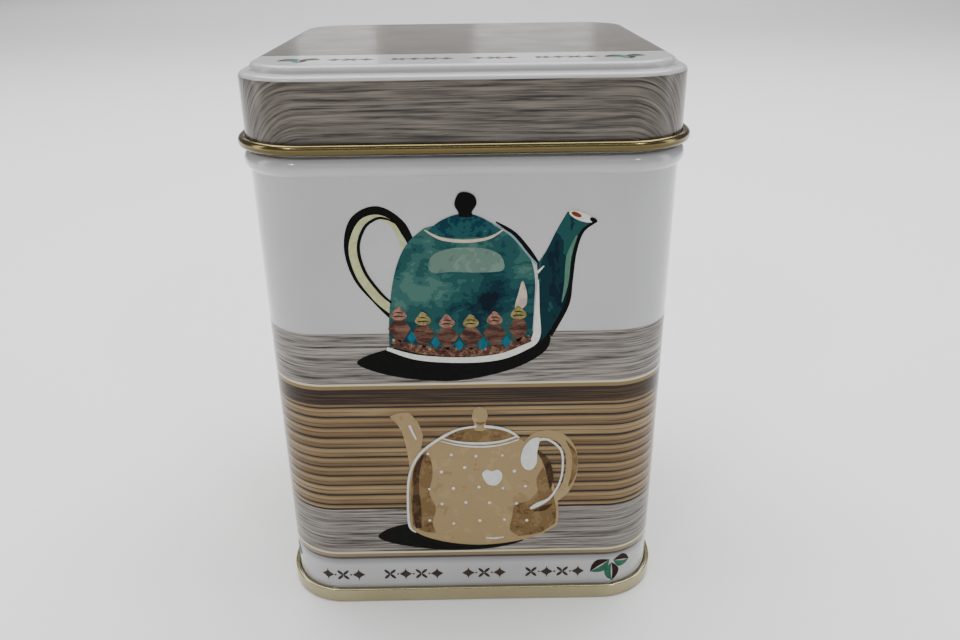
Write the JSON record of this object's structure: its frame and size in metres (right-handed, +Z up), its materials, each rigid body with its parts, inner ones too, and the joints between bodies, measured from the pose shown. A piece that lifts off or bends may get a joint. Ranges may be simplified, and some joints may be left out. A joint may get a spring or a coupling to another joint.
{
  "type": "tea caddy",
  "caption": "Square tinplate tea caddy with rounded corners, a curled slip lid with a raised top panel, and a seamed base.",
  "frame": {"origin": "middle of the square that the caddy stands on, at the underside of the base seam", "axes": "+Z up through the lid, -Y out of the front face, +X to the right seen from the front"},
  "size_m": [0.0828, 0.0828, 0.1135],
  "materials": {
    "printed_body": "gloss litho print over white enamel on tinplate",
    "gold_lacquer": "clear gold lacquer on bright tinplate",
    "printed_lid": "gloss litho print over white enamel on tinplate"
  },
  "bodies": {
    "tin": {"body_shell": "printed_body", "base_end": "gold_lacquer"},
    "lid": {"lid_shell": "printed_lid"}
  },
  "joints": [
    {"name": "lid_lift", "type": "slide", "parent": "tin", "child": "lid", "axis": [0, 0, 1], "range_m": [0, 0.05]}
  ]
}
